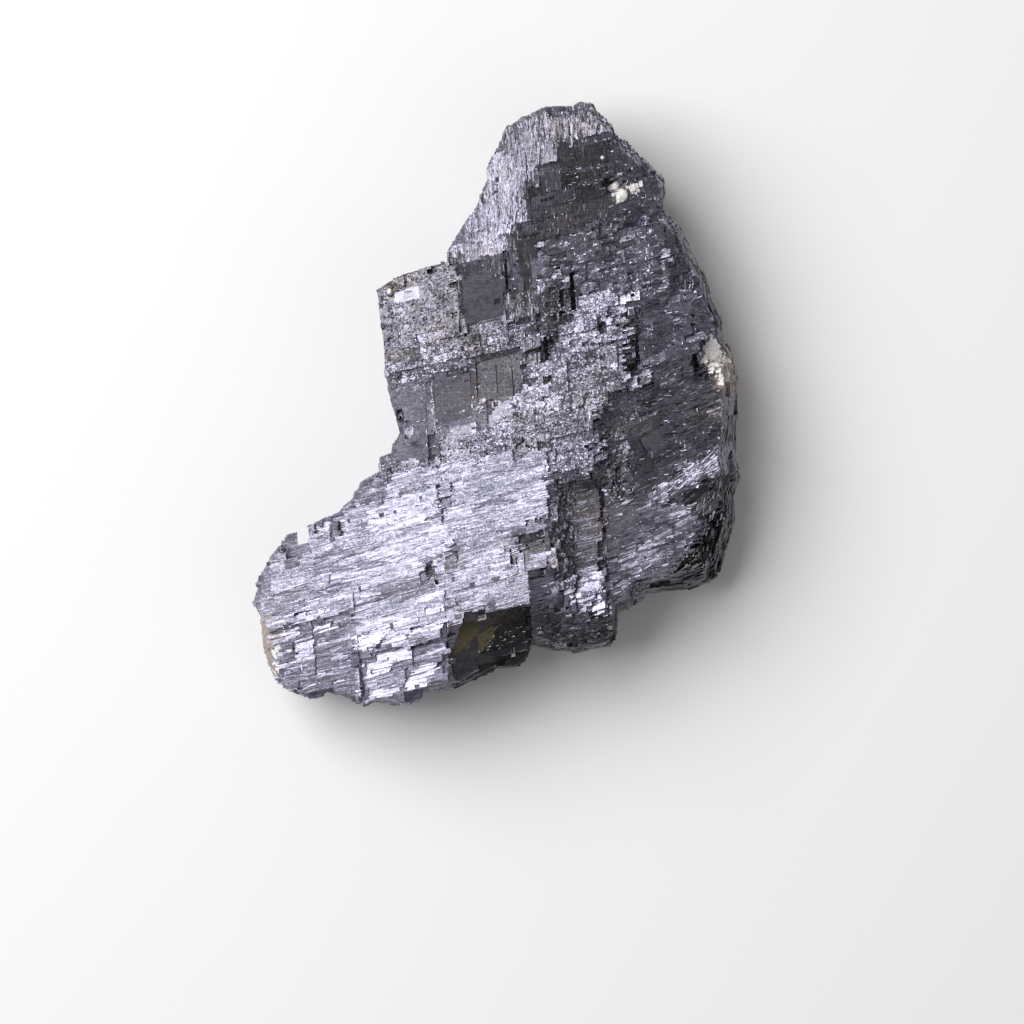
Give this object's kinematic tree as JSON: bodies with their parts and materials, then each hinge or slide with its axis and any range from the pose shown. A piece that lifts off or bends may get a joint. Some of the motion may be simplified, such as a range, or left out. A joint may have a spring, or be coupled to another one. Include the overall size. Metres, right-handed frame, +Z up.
{
  "type": "galena mineral specimen",
  "caption": "Hand-sized cleavage mass of galena: stepped square ledges over a broken flank, resting on a flat cleavage face.",
  "frame": {"origin": "middle of the footprint's box, on the flat resting face", "axes": "+Z up out of the stepped front, +Y along the longest extent towards the tapered end, +X to the right seen from the front"},
  "size_m": [0.104, 0.129, 0.0391],
  "materials": {
    "galena": "bright lead-grey metallic cleavage faces with fine striation, granular patches, iron stain and small white grains"
  },
  "bodies": {
    "root": {"galena": "galena"}
  },
  "joints": []
}
